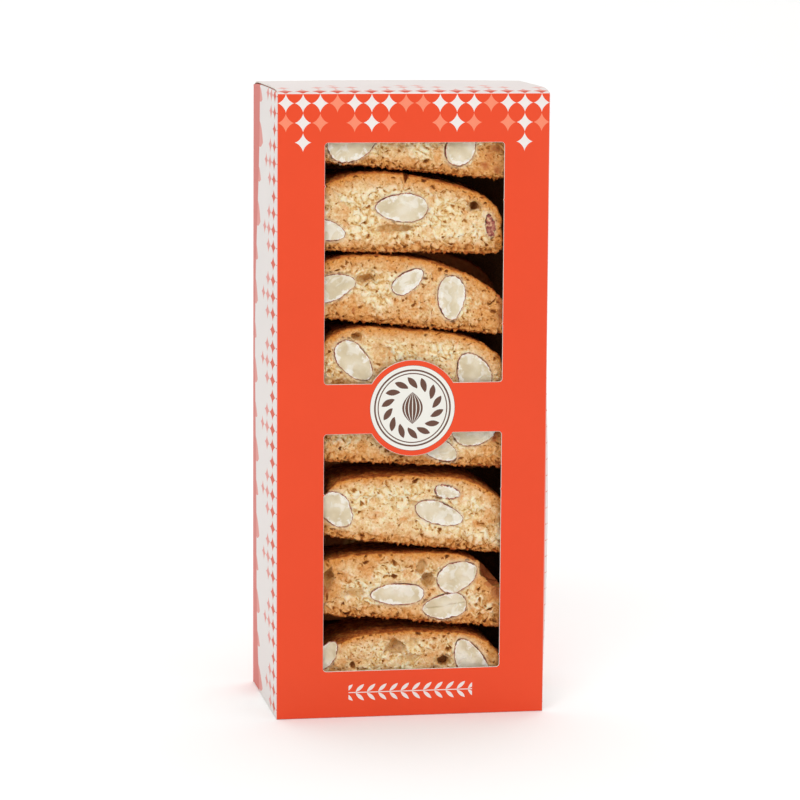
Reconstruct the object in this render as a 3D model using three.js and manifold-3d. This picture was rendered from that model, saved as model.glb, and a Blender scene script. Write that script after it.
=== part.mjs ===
// A windowed carton of almond biscotti, in millimetres. +Z is up and the windows face -Y.
// The origin is on the ground, under the middle of the carton.
import * as THREE from 'three';
import { mergeVertices } from 'three/addons/utils/BufferGeometryUtils.js';
import Module from 'manifold-3d';

const wasm = await Module();
wasm.setup();

// Carton
const cartonWidth = 95;
const cartonDepth = 62;
const cartonHeight = 218; // up to the fold between the front panel and the lid
const board = 0.5; // thickness of the folded board
const leftBow = 2; // how far the left side panel bellies out at its middle
const rightBow = 1.2;
// Where the slices press on the right panel: its rise and fall along the height and the depth
const rightSwell = { bottom: 12, top: 117, out: 2, bluntness: 0.6, frontRate: 24, rearFall: 3 };
const sideTop = 217.3; // top edge of the side panels at their folds, just under the lid
const sideArch = 1; // how much higher that edge is at its middle
const lidWidth = 94.4;
const lidCrown = 1.9; // rise of the arched lid above its front and rear folds
const lidSquareness = 8; // the higher, the flatter the arch is on top
const foldLap = 1; // how far the lid's folds come down over the panels
const dustFlap = { reach: 26, length: 54, top: 216.7 };

// Windows in the front panel, with a band and a round badge between them
const windowWidth = 62.6;
const windowCentreX = 0.3;
const windowCorner = 1.1;
const windows = [
  { bottom: 16.6, top: 100.3 },
  { bottom: 117.8, top: 201.1 },
];
const badgeRadius = 16.8;
const badgeCentreZ = 109.1;
const cutterExtra = 1; // how far a window's cutter passes the board on both of its faces

// Crust and the flat side that lay on the baking tray
const crustUneven = 0.35; // height of the bumps on the crust
const baseUneven = 0.45; // height of the bumps on the flat side
const baseSeedShift = 0.5; // gives the flat side bumps of its own
const baseLift = 2.2; // height of the rounding where the flat side meets the ends
const baseFall = 12; // shape of that rounding
const baseBlunt = 3;
// Waves that make the bumps: rate along the slice, rate into it, and shift from seed to seed
const waves = [
  { along: 0.31, inward: 0.17, shift: 2.3 },
  { along: 0.73, inward: -0.29, shift: 4.1 },
  { along: 1.37, inward: 0.53, shift: 1.7 },
];

// Almonds
const fitGap = 0.36; // between an almond's outline and that of its pocket
const pocketLip = 1; // how far the shape that cuts a pocket stands out of the cut face
const almondPoint = 0.32; // how much narrower an almond is at its pointed end
const almondFullness = 1.12; // makes up for that at its broadest place
// Outlines below the cut one, as shares of the almond's depth and of its size
const almondLevels = [
  { depth: 0.5, size: 0.88 },
  { depth: 0.86, size: 0.55 },
];

// Number of sides and steps
const domeSteps = 9; // on each side of a slice's crown
const baseSteps = 6; // on each half of a slice's flat side
const frontDepths = [0, 0.3, 0.65, 1]; // shares of a slice's thickness where its outline is drawn
const rearDepths = [0, 1];
const almondSides = 16;
const hollowDetail = 1; // subdivisions of the icosahedron that cuts a hollow
const badgeSides = 48;
const cornerSides = 4;
const bowSteps = 8;
const heightSteps = 11;
const lidSteps = 14;
const weld = 1e-4; // points closer than this become one

// Front row of slices, from the top down. x and z give the point of the flat side under the
// crown, tilt and pitch are how many degrees the right end and the back hang, and inset is how
// far the cut face lies behind the panel. The dome grows by swell towards the back. On each
// side of the crown, reach is the distance to the slice's end, and fall and blunt shape the
// dome. Almonds and hollows lie in the cut face, at x and z.
const frontSlices = [
  {
    x: -5.5, z: 191.5, tilt: 5.8, height: 22.4, thickness: 25, inset: 2.6, pitch: 0, swell: 0, seed: 1,
    left: { reach: 39, fall: 2.4, blunt: 3.6 }, right: { reach: 42, fall: 2.2, blunt: 3.4 },
    almonds: [
      { x: -21.2, z: 200.6, length: 17, width: 11.6, angle: 16, sink: 5 },
      { x: 16.9, z: 199.8, length: 14, width: 10.4, angle: 68, sink: 5 },
    ],
    hollows: [],
  },
  {
    x: -10.6, z: 163.1, tilt: 1.5, height: 28, thickness: 26, inset: 2.4, pitch: 0, swell: 0, seed: 2,
    left: { reach: 28, fall: 2, blunt: 4 }, right: { reach: 42.6, fall: 1.1, blunt: 4.7 },
    almonds: [
      { x: -3.8, z: 178.5, length: 18.2, width: 9.9, angle: 178, sink: 5 },
      { x: -30.2, z: 170.9, length: 13, width: 7, angle: -14, sink: 4 },
      { x: 27.2, z: 172.3, length: 7.4, width: 2.6, angle: 98, sink: 2 },
    ],
    hollows: [
      { x: 21.7, z: 178.9, width: 3.8, height: 3.6, depth: 4 },
      { x: -2.9, z: 171.3, width: 7.6, height: 2.8, depth: 1.6 },
    ],
  },
  {
    x: -2.6, z: 137.3, tilt: 6, height: 24.2, thickness: 24.5, inset: 2.4, pitch: 0, swell: 0, seed: 3,
    left: { reach: 38, fall: 3, blunt: 3.4 }, right: { reach: 40, fall: 1.6, blunt: 2 },
    almonds: [
      { x: -28.1, z: 151.1, length: 16.5, width: 8.6, angle: 16, sink: 4.5 },
      { x: -1.5, z: 153, length: 12.2, width: 6.6, angle: 35, sink: 4 },
      { x: 13.8, z: 147.1, length: 15, width: 9.6, angle: 267, sink: 5 },
    ],
    hollows: [
      { x: -15.6, z: 153.6, width: 7, height: 2.6, depth: 2 },
    ],
  },
  {
    x: -11.6, z: 113.4, tilt: 4.5, height: 23.8, thickness: 25.5, inset: 2.6, pitch: 0, swell: 0, seed: 4,
    left: { reach: 25, fall: 3, blunt: 2.5 }, right: { reach: 47, fall: 4.6, blunt: 2 },
    almonds: [
      { x: -20.1, z: 125.5, length: 16.6, width: 10, angle: -48, sink: 5 },
      { x: 21.9, z: 120.7, length: 14.6, width: 11.8, angle: 118, sink: 5 },
    ],
    hollows: [
      { x: -19.2, z: 134.1, width: 4.4, height: 3, depth: 3 },
    ],
  },
  {
    x: -3.6, z: 89.1, tilt: 2.9, height: 23.1, thickness: 25, inset: 2.5, pitch: 4, swell: 0, seed: 5,
    left: { reach: 34, fall: 2.5, blunt: 3.5 }, right: { reach: 41, fall: 2.6, blunt: 2.6 },
    almonds: [
      { x: 22.5, z: 100.3, length: 15.4, width: 10.6, angle: 4, sink: 5 },
      { x: 9.9, z: 94.3, length: 14, width: 7.6, angle: -30, sink: 4 },
    ],
    hollows: [],
  },
  {
    x: 11.4, z: 58.8, tilt: 6.7, height: 25.8, thickness: 25.5, inset: 2.5, pitch: 0, swell: 1.4, seed: 6,
    left: { reach: 43.6, fall: 1.1, blunt: 8 }, right: { reach: 29, fall: 2, blunt: 1.8 },
    almonds: [
      { x: -26.1, z: 73.3, length: 13.4, width: 10.2, angle: -52, sink: 4.5 },
      { x: 10.2, z: 71.3, length: 17.2, width: 7.7, angle: -18, sink: 4.5 },
      { x: 13, z: 78.8, length: 8.8, width: 4.2, angle: -12, sink: 2.5 },
    ],
    hollows: [
      { x: 10, z: 77, width: 3, height: 2, depth: 1.6 },
    ],
  },
  {
    x: 12.4, z: 32.2, tilt: 5.3, height: 25.3, thickness: 25, inset: 2.5, pitch: 2, swell: 0, seed: 7,
    left: { reach: 53, fall: 1.2, blunt: 6 }, right: { reach: 24.5, fall: 2, blunt: 1.6 },
    almonds: [
      { x: -4.5, z: 42.9, length: 18.8, width: 7.4, angle: 180, sink: 4.5 },
      { x: 16.9, z: 48.7, length: 14.6, width: 10.2, angle: 24, sink: 5 },
      { x: 12.5, z: 38.2, length: 15.4, width: 8.6, angle: 188, sink: 4.5 },
    ],
    hollows: [
      { x: 3.7, z: 52.4, width: 3.6, height: 3.6, depth: 1.8 },
      { x: 6, z: 48.4, width: 5, height: 5, depth: 2.4 },
      { x: -19.8, z: 43.8, width: 8.6, height: 3, depth: 1.6 },
      { x: -28.8, z: 49.6, width: 4, height: 8, depth: 2.4 },
      { x: 32, z: 53.4, width: 15, height: 19, depth: 9 },
    ],
  },
  {
    x: -1.6, z: 1.5, tilt: 0.6, height: 28.2, thickness: 26, inset: 2.6, pitch: 0, swell: 1.2, seed: 8,
    left: { reach: 37, fall: 3, blunt: 2 }, right: { reach: 38.6, fall: 4.5, blunt: 2 },
    almonds: [
      { x: -29.6, z: 22, length: 10.6, width: 6.8, angle: 52, sink: 4 },
      { x: 22.2, z: 17.2, length: 20, width: 10.6, angle: 117, sink: 5 },
    ],
    hollows: [
      { x: 12.4, z: 18.6, width: 5, height: 4.4, depth: 4 },
      { x: -4.6, z: 24, width: 7.6, height: 6.4, depth: 2.2 },
      { x: 0.4, z: 19.6, width: 6, height: 3, depth: 1.4 },
    ],
  },
];

// Rear row of slices behind the front row. Every other slice leans to the same side.
const rearRow = {
  count: 8, front: 29.8, thickness: 26.4, height: 25.8, reach: 36, floor: 1.3, lean: 1,
  left: { fall: 2.6, blunt: 3.2 }, right: { fall: 2.2, blunt: 3 },
};

const finishes = {
  carton: { color: '#ef5432', roughness: 0.5 },
  slice: { color: '#dcb27a', roughness: 0.9 },
  almond: { color: '#ebe0cb', roughness: 0.6 },
};

// Smooth, repeatable unevenness between about -1 and 1.
function uneven(x, depth, seed) {
  const heights = waves.map((wave) => Math.sin(wave.along * x + wave.inward * depth + wave.shift * seed));
  return heights.reduce((sum, height) => sum + height, 0) / waves.length;
}

// Shares from 0 to 1 that lie closer together near both ends.
function easedShares(steps) {
  const shares = [];
  for (let step = 0; step <= steps; step += 1) shares.push((1 - Math.cos((Math.PI * step) / steps)) / 2);
  return shares;
}

// A closed surface through rings of equal size, with a tip at each end.
function loft(rings, startTip, endTip) {
  const sides = rings[0].length;
  const points = [startTip, ...rings.flat(), endTip];
  const index = [];
  for (let side = 0; side < sides; side += 1) {
    const next = (side + 1) % sides;
    index.push(0, 1 + next, 1 + side);
    for (let ring = 0; ring < rings.length - 1; ring += 1) {
      const here = 1 + ring * sides;
      const beyond = here + sides;
      index.push(here + side, here + next, beyond + next);
      index.push(here + side, beyond + next, beyond + side);
    }
    const last = 1 + (rings.length - 1) * sides;
    index.push(last + side, last + next, points.length - 1);
  }
  const geometry = new THREE.BufferGeometry().setFromPoints(points);
  geometry.setIndex(index);
  return geometry;
}

function middleOf(ring) {
  const middle = new THREE.Vector3();
  ring.forEach((point) => middle.add(point));
  return middle.divideScalar(ring.length);
}

function toSolid(geometry) {
  const bare = geometry.clone();
  bare.deleteAttribute('normal');
  bare.deleteAttribute('uv');
  const merged = mergeVertices(bare, weld);
  return new wasm.Manifold(new wasm.Mesh({
    numProp: 3,
    vertProperties: new Float32Array(merged.attributes.position.array),
    triVerts: new Uint32Array(merged.index.array),
  }));
}

function toGeometry(solid) {
  const mesh = solid.getMesh();
  const geometry = new THREE.BufferGeometry();
  geometry.setAttribute('position', new THREE.BufferAttribute(mesh.vertProperties, 3));
  geometry.setIndex(new THREE.BufferAttribute(mesh.triVerts, 1));
  geometry.computeVertexNormals();
  return geometry;
}

function namedMesh(name, geometry, finish) {
  const material = new THREE.MeshStandardMaterial({ ...finishes[finish], metalness: 0 });
  const mesh = new THREE.Mesh(geometry, material);
  mesh.name = name;
  return mesh;
}

// --- Carton ---

// How far a side panel stands out, side being 1 for the right one. The share runs from the
// front fold at 0 to the rear fold at 1.
function sideBow(side, share, z) {
  const belly = 4 * share * (1 - share) * Math.sin((Math.PI * Math.min(z, sideTop)) / sideTop);
  if (side < 0) return leftBow * belly;
  const { bottom, top, out, bluntness, frontRate, rearFall } = rightSwell;
  const climb = Math.min(1, Math.max(0, (z - bottom) / (top - bottom)));
  const alongDepth = (1 - Math.exp(-frontRate * share)) * (1 - share ** rearFall);
  const bulge = alongDepth * Math.sin(Math.PI * climb) ** bluntness;
  return rightBow * belly + out * bulge;
}

// A prism with flat front and back and bellied sides, drawn in by inset all round. Its top
// edges arch at the sides.
function cartonPrism(inset, bottom, top) {
  const halfDepth = cartonDepth / 2 - inset;
  const halfWidth = cartonWidth / 2 - inset;
  const rings = [];
  for (let level = 0; level <= heightSteps; level += 1) {
    const upright = bottom + ((top - bottom) * level) / heightSteps;
    const ring = [];
    [1, -1].forEach((side) => {
      const shares = easedShares(bowSteps);
      if (side < 0) shares.reverse();
      shares.forEach((share) => {
        const arch = level === heightSteps ? sideArch * 4 * share * (1 - share) : 0;
        const x = side * (halfWidth + sideBow(side, share, upright));
        ring.push(new THREE.Vector3(x, (2 * share - 1) * halfDepth, upright + arch));
      });
    });
    rings.push(ring);
  }
  return loft(rings, middleOf(rings[0]), middleOf(rings.at(-1)));
}

// Height of the lid's upper face, from its front fold at 0 to its rear fold at 1.
function lidHeight(share) {
  return cartonHeight + lidCrown * (1 - Math.abs(2 * share - 1) ** lidSquareness);
}

// The arched lid and its two folds, extruded from side to side.
function lidSheet() {
  const foot = sideTop - foldLap;
  const shares = easedShares(lidSteps);
  const outline = new THREE.Shape();
  outline.moveTo(-cartonDepth / 2, foot);
  shares.forEach((share) => outline.lineTo((share - 0.5) * cartonDepth, lidHeight(share)));
  outline.lineTo(cartonDepth / 2, foot);
  outline.lineTo(cartonDepth / 2 - board, foot);
  shares.reverse().forEach((share) => {
    outline.lineTo((share - 0.5) * (cartonDepth - 2 * board), lidHeight(share) - board);
  });
  outline.lineTo(-cartonDepth / 2 + board, foot);
  const sheet = new THREE.ExtrudeGeometry(outline, { depth: lidWidth, bevelEnabled: false });
  sheet.translate(0, 0, -lidWidth / 2);
  // The outline's axes become the depth and the height, and the extrusion the width.
  sheet.applyMatrix4(new THREE.Matrix4().makeBasis(
    new THREE.Vector3(0, 1, 0), new THREE.Vector3(0, 0, 1), new THREE.Vector3(1, 0, 0),
  ));
  return sheet;
}

function dustFlapSheet(side) {
  const flap = new THREE.BoxGeometry(dustFlap.reach, dustFlap.length, board);
  const outer = cartonWidth / 2 - board / 2;
  flap.translate(side * (outer - dustFlap.reach / 2), 0, dustFlap.top - board / 2);
  return flap;
}

// A cutter for one window: a rectangle with round corners, less the badge.
function windowCutter({ bottom, top }) {
  const left = windowCentreX - windowWidth / 2;
  const right = windowCentreX + windowWidth / 2;
  const turn = Math.PI / 2;
  const outline = new THREE.Shape();
  outline.absarc(right - windowCorner, bottom + windowCorner, windowCorner, -turn, 0);
  outline.absarc(right - windowCorner, top - windowCorner, windowCorner, 0, turn);
  outline.absarc(left + windowCorner, top - windowCorner, windowCorner, turn, 2 * turn);
  outline.absarc(left + windowCorner, bottom + windowCorner, windowCorner, 2 * turn, 3 * turn);
  const reach = board + 2 * cutterExtra;
  const opening = new THREE.ExtrudeGeometry(outline, {
    depth: reach, bevelEnabled: false, curveSegments: cornerSides,
  });
  opening.rotateX(turn);
  opening.translate(0, -cartonDepth / 2 + board + cutterExtra, 0);
  const badge = new THREE.CylinderGeometry(badgeRadius, badgeRadius, 2 * reach, badgeSides);
  badge.translate(0, -cartonDepth / 2, badgeCentreZ);
  return toSolid(opening).subtract(toSolid(badge));
}

function buildCarton() {
  let carton = toSolid(cartonPrism(0, 0, sideTop));
  carton = carton.subtract(toSolid(cartonPrism(board, board, sideTop + board)));
  carton = carton.add(toSolid(lidSheet()));
  [1, -1].forEach((side) => {
    carton = carton.add(toSolid(dustFlapSheet(side)));
  });
  windows.forEach((opening) => {
    carton = carton.subtract(windowCutter(opening));
  });
  return namedMesh('carton', toGeometry(carton), 'carton');
}

// --- Biscotti ---

// Outline of a slice at one depth: a dome over a flat side with round ends.
function sliceRing(slice, depth) {
  const crown = slice.height + (slice.swell * depth) / slice.thickness;
  const ring = [];
  const addPoint = (side, share, upper) => {
    const { reach, fall, blunt } = side > 0 ? slice.right : slice.left;
    const dome = baseLift + (crown - baseLift) * (1 - share ** fall) ** (1 / blunt);
    const base = baseLift * (1 - (1 - share ** baseFall) ** (1 / baseBlunt));
    const bumps = upper ? crustUneven : baseUneven;
    const bump = bumps * uneven(side * share * reach, depth, slice.seed + (upper ? 0 : baseSeedShift));
    const x = side * (share * reach + (share === 1 ? bump : 0));
    ring.push(new THREE.Vector3(x, depth, (upper ? dome : base) + (share === 1 ? 0 : bump)));
  };
  const shareOf = (step, steps) => Math.sin((step / steps) * (Math.PI / 2));
  for (let step = 0; step <= domeSteps; step += 1) addPoint(-1, shareOf(domeSteps - step, domeSteps), true);
  for (let step = 1; step <= domeSteps; step += 1) addPoint(1, shareOf(step, domeSteps), true);
  for (let step = baseSteps - 1; step >= 0; step -= 1) addPoint(1, shareOf(step, baseSteps), false);
  for (let step = 1; step < baseSteps; step += 1) addPoint(-1, shareOf(step, baseSteps), false);
  return ring;
}

function sliceBody(slice, depths) {
  const rings = depths.map((share) => sliceRing(slice, share * slice.thickness));
  return loft(rings, middleOf(rings[0]), middleOf(rings.at(-1)));
}

// An almond cut through by the slice's face at depth 0, pointed at one end. A lip stands out
// of the face, so that the same shape also cuts the pocket.
function almondBody({ length, width, sink, angle }, gap, lip) {
  const turn = THREE.MathUtils.degToRad(angle);
  const ringAt = (depth, scale) => {
    const ring = [];
    for (let side = 0; side < almondSides; side += 1) {
      const around = (-2 * Math.PI * side) / almondSides;
      const along = ((length / 2) * scale + gap) * Math.cos(around);
      const taper = almondFullness * (1 - (almondPoint * (1 + Math.cos(around))) / 2);
      const across = ((width / 2) * taper * scale + gap) * Math.sin(around);
      ring.push(new THREE.Vector3(
        along * Math.cos(turn) - across * Math.sin(turn),
        depth,
        along * Math.sin(turn) + across * Math.cos(turn),
      ));
    }
    return ring;
  };
  const tip = sink + gap;
  const rings = [ringAt(0, 1), ...almondLevels.map((level) => ringAt(level.depth * tip, level.size))];
  if (lip > 0) rings.unshift(ringAt(-lip, 1));
  return loft(rings, new THREE.Vector3(0, -lip, 0), new THREE.Vector3(0, tip, 0));
}

function hollowBody({ width, height, depth }) {
  return new THREE.IcosahedronGeometry(1, hollowDetail).scale(width / 2, depth, height / 2);
}

// Puts a shape that is centred on the origin at a place in the slice's own cut face.
function placeInFace(geometry, slice, { x, z }) {
  const tilt = THREE.MathUtils.degToRad(slice.tilt);
  const offset = new THREE.Vector3(x - slice.x, 0, z - slice.z);
  offset.applyAxisAngle(new THREE.Vector3(0, 1, 0), -tilt);
  return geometry.rotateY(-tilt).translate(offset.x, 0, offset.z);
}

function buildFrontSlice(slice, number) {
  const group = new THREE.Group();
  let body = toSolid(sliceBody(slice, frontDepths));
  slice.almonds.forEach((almond, order) => {
    const kernel = placeInFace(almondBody(almond, 0, 0), slice, almond);
    const pocket = placeInFace(almondBody(almond, fitGap, pocketLip), slice, almond);
    body = body.subtract(toSolid(pocket));
    group.add(namedMesh(`almond_${number}_${order + 1}`, kernel, 'almond'));
  });
  slice.hollows.forEach((hollow) => {
    body = body.subtract(toSolid(placeInFace(hollowBody(hollow), slice, hollow)));
  });
  group.add(namedMesh(`slice_${number}`, toGeometry(body), 'slice'));
  group.position.set(slice.x, -cartonDepth / 2 + slice.inset, slice.z);
  group.rotation.x = THREE.MathUtils.degToRad(-slice.pitch);
  group.rotation.y = THREE.MathUtils.degToRad(slice.tilt);
  return group;
}

function buildRearSlice(number) {
  const pitch = (dustFlap.top - board - rearRow.floor) / rearRow.count;
  const lean = number % 2 ? rearRow.lean : -rearRow.lean;
  const slice = {
    height: rearRow.height,
    thickness: rearRow.thickness,
    swell: 0,
    seed: rearRow.count + number,
    left: { ...rearRow.left, reach: rearRow.reach + lean },
    right: { ...rearRow.right, reach: rearRow.reach - lean },
  };
  const mesh = namedMesh(`rear_slice_${number}`, sliceBody(slice, rearDepths), 'slice');
  const z = rearRow.floor + (rearRow.count - number) * pitch;
  mesh.position.set(lean, -cartonDepth / 2 + rearRow.front, z);
  return mesh;
}

const biscottiCarton = new THREE.Group();
biscottiCarton.add(buildCarton());
frontSlices.forEach((slice, index) => biscottiCarton.add(buildFrontSlice(slice, index + 1)));
for (let number = 1; number <= rearRow.count; number += 1) {
  biscottiCarton.add(buildRearSlice(number));
}

export default biscottiCarton;
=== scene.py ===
import math
from functools import partial

import bmesh
import bpy
from mathutils import Matrix, Vector, noise
from mathutils.bvhtree import BVHTree


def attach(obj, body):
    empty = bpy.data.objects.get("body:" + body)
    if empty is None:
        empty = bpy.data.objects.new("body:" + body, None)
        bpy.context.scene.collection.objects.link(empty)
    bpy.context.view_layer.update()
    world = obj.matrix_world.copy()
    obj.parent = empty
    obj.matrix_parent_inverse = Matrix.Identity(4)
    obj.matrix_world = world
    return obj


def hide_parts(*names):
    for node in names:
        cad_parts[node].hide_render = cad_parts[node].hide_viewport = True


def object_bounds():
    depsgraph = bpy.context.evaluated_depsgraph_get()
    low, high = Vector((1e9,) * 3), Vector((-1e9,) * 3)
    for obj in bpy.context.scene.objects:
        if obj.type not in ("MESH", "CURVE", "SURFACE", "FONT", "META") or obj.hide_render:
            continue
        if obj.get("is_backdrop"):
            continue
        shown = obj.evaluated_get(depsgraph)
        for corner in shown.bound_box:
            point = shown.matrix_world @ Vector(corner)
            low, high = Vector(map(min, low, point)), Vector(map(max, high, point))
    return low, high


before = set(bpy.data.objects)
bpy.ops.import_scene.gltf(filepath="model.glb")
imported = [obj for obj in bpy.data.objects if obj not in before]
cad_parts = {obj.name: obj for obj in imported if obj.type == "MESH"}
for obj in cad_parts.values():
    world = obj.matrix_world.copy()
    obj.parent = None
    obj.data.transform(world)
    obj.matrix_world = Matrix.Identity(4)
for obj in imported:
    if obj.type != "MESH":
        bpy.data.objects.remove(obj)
cadLow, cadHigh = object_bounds()
scene = bpy.context.scene
noise.seed_set(4)  # the same crumb every time
tiny = 1e-5  # in metres, for telling by its place what a vertex belongs to
print("frame loaded")


def hexColour(code):
    # sRGB hex to the linear values that sockets take
    parts = [int(code[i:i + 2], 16) / 255 for i in (1, 3, 5)]
    return tuple(p / 12.92 if p <= 0.04045 else ((p + 0.055) / 1.055) ** 2.4 for p in parts) + (1.0,)


def fillSockets(node, inputs):
    # a value is a node, whose output in use is meant, or a socket, a hex colour or plain numbers
    for key, value in inputs.items():
        if isinstance(value, bpy.types.Node):
            value = next(output for output in value.outputs if output.enabled)
        if isinstance(value, bpy.types.NodeSocket):
            node.id_data.links.new(value, node.inputs[key])
        else:
            node.inputs[key].default_value = hexColour(value) if isinstance(value, str) else value


typeSettings = {"Math": "operation", "VectorMath": "operation", "Mix": "data_type",
                "MapRange": "interpolation_type", "VectorRotate": "rotation_type"}


def addNode(tree, kind, *inputs, **named):
    # Kind is the node's name, with its operation or type after a space. Inputs go to the sockets
    # in use in their order, and what is named is another socket or a setting.
    kind, *chosen = kind.split()
    node = tree.nodes.new("ShaderNode" + kind)
    if chosen:
        setattr(node, typeSettings[kind], chosen[0])
    sockets = dict(zip([place for place, socket in enumerate(node.inputs) if socket.enabled], inputs))
    for name, value in named.items():
        if name == "stops":
            for _ in value[2:]:
                node.color_ramp.elements.new(1.0)
            for element, (place, code) in zip(node.color_ramp.elements, value):
                element.position, element.color = place, hexColour(code)
        elif name in node.inputs:
            sockets[name] = value
        else:
            setattr(node, name, value)
    fillSockets(node, sockets)
    return node


def newMaterial(name):
    material = bpy.data.materials.new(name)
    material.use_nodes = True
    tree = material.node_tree
    return material, partial(addNode, tree), tree.nodes["Principled BSDF"]


def setMode(mode):
    bpy.ops.object.mode_set(mode=mode)


def activate(piece):
    if bpy.context.object and bpy.context.object.mode != "OBJECT":
        setMode("OBJECT")
    bpy.ops.object.select_all(action="DESELECT")
    piece.select_set(True)
    bpy.context.view_layer.objects.active = piece


def pick(piece, kind, test):
    # in edit mode, selects only the vertices, edges or faces that pass the test
    bpy.ops.mesh.select_mode(type=kind)
    bpy.ops.mesh.select_all(action="DESELECT")
    mesh = bmesh.from_edit_mesh(piece.data)
    mesh.normal_update()
    for part in {"VERT": mesh.verts, "EDGE": mesh.edges, "FACE": mesh.faces}[kind]:
        if test(part):
            part.select_set(True)
    if kind == "VERT":
        mesh.select_flush(True)
    bmesh.update_edit_mesh(piece.data)


def middle(edge):
    return (edge.verts[0].co + edge.verts[1].co) / 2


def extrude(*move):
    bpy.ops.mesh.extrude_region_move(TRANSFORM_OT_translate={"value": move})


def scaleBy(*shares):
    bpy.ops.transform.resize(value=shares)


def selectAll():
    bpy.ops.mesh.select_all(action="SELECT")


def cutAcross(piece, test, place, normal):
    pick(piece, "FACE", test)
    bpy.ops.mesh.bisect(plane_co=place, plane_no=normal)


def addShape(operator, **placement):
    # a primitive with its place, turn and size put into its mesh
    operator(**placement)
    piece = bpy.context.object
    activate(piece)
    bpy.ops.object.transform_apply(location=True, rotation=True, scale=True)
    return piece


def ease(value, start, end):
    # 0 before start, 1 after end and smooth between them
    share = min(1.0, max(0.0, (value - start) / (end - start)))
    return share * share * (3 - 2 * share)


def applyModifier(piece, kind, **settings):
    modifier = piece.modifiers.new(kind.title(), kind)
    for name, value in settings.items():
        setattr(modifier, name, value)
    activate(piece)
    bpy.ops.object.modifier_apply(modifier=modifier.name)


def addObject(name, data):
    added = bpy.data.objects.new(name, data)
    scene.collection.objects.link(added)
    return added


def copyNode(nodeName, pieceName):
    # a merged copy of a CAD node, with a mesh of its own
    piece = addObject(pieceName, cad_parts[nodeName].data.copy())
    piece.data.name = pieceName
    piece.data.materials.clear()
    activate(piece)
    bpy.ops.mesh.customdata_custom_splitnormals_clear()
    setMode("EDIT")
    selectAll()
    bpy.ops.mesh.remove_doubles(threshold=0.000002)
    setMode("OBJECT")
    return piece


def finishPiece(piece, slotName, *nodeNames):
    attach(piece, "root")
    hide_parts(*nodeNames)


carton = {
    "width": 0.095, "depth": 0.062, "height": 0.218,
    "board": 0.00045,  # folding boxboard
    "foldRadius": 0.0005,
    "foldAngle": 28,  # degrees; sharper edges are folds
    "leftBow": 0.002,  # how far the side panels belly out
    "rightBow": 0.0012,
    "rightSwell": 0.0021,  # where the slices press on the right panel, low and near the front
    "swellFoot": 0.012, "swellHeight": 0.105, "swellRate": 24,
    "lidRise": 0.00195,  # crown of the shut lid above its folds
    "lidPower": 8.0,  # how square the arch of the lid is
    "sideRise": 0.0010,  # the side panels' folds arch up under the lid
    "sidePower": 4,
    "edgeSag": 0.2,  # share by which the lid is lower at its ends
    "cornerGap": 0.0016,  # the dust flaps keep this far from the corners and fold over as much
    "flapReach": 0.026, "flapTapers": (0.98, 0.87),
    "lidTaper": 0.9935, "tuckLength": 0.012, "tuckTaper": 0.96,
    # where the lid and the side panels are divided, closer together near their folds
    "lidSteps": [0.012, 0.03, 0.06, 0.11, 0.18, 0.27, 0.38, 0.5, 0.62, 0.73, 0.82, 0.89, 0.94, 0.97, 0.988],
    "lidCuts": [-0.036, -0.024, -0.012, 0, 0.012, 0.024, 0.036],
    "sideCuts": [-0.0295, -0.028, -0.0255, -0.022, -0.017, -0.01, 0, 0.01, 0.02, 0.0255, 0.0295],
    "sideRows": 17,
}
halfWidth, halfDepth = carton["width"] / 2, carton["depth"] / 2
top, board = carton["height"], carton["board"]
windows = {
    "centreX": 0.0003, "width": 0.0626, "corner": 0.0011,
    "rows": [(0.0166, 0.1003), (0.1178, 0.2011)],
    "badgeRadius": 0.0168, "badgeZ": 0.1091,
    "tabs": [  # small nibs that held the cut-out
        (-0.0311, 0.1862), (0.0318, 0.1812), (0.0318, 0.138),
        (-0.0311, 0.079), (0.0318, 0.080), (0.0318, 0.021)],
    "tabRadius": 0.00042,
    "edgeWear": 0.00011,  # breadth of the broken punched edge
    "zone": (0.034, 0.012, 0.204),  # half width, foot and top of the part of the front that holds them
}
artwork = {
    "red": "#e94a24", "white": "#ece4e0", "pink": "#f58b6b",
    "sideWhite": "#ede7e4", "sideRed": "#e0705e", "sidePink": "#e8a098", "rearPink": "#dd827a",
    # the lid's inks: darker copies of the side inks, painted shade of the lid
    "lidShadedWhite": "#d8d0cd", "lidShadedRed": "#cb5d4d", "lidShadedPink": "#d9a39b",
    "badgeWhite": "#ebe9e1", "badgeBrown": "#67473a",
    "starWidth": 0.00594, "starHeight": 0.0067,
    "sideStarWidth": 0.00577, "sideStarHeight": 0.0085,
    "starCurve": 1.6,  # 1 is a plain diamond, 2 has round cut-outs
    "garlandTop": 0.21805,  # the runs on the front hang from here
    "garlandGap": 0.034,  # below the second row, runs are only this far from the middle
    "inkTop": 0.21785,  # the red stops at the fold to the lid
    "sprigZ": 0.0089, "sprigHalf": 0.022, "sprigStep": 0.004, "stemHalf": 0.00016,
    "sprigLeaf": (math.radians(-42), 0.0040, 0.00125),  # turn, length and width
    "sprigRise": 0.00155,  # from the stem to the middle of a leaf
    "wreathRadius": 0.0089, "wreathLeaves": 14,
    "wreathLeaf": (math.radians(-48), 0.0054, 0.0021),
    "nutHalfWidth": 0.0036, "nutHalfHeight": 0.0056, "nutRib": 0.19, "nutVein": 0.045,
    "badgeInk": 0.01495,  # the badge's picture ends here
    "foldHighlight": (0.0472, 0.0474),  # distances from the middle over which a painted highlight of the folds pales the ink
    "bandPlace": 0.0135, "bandSwing": 0.0025, "bandPeriod": 0.11,
    "bandLeafStep": 0.028, "bandLeafTurn": math.radians(-14),
    "bandLeaves": [(0.3, 0.020, 0.0085), (0.8, 0.014, 0.005)],  # place in the step, length and width
}


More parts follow.
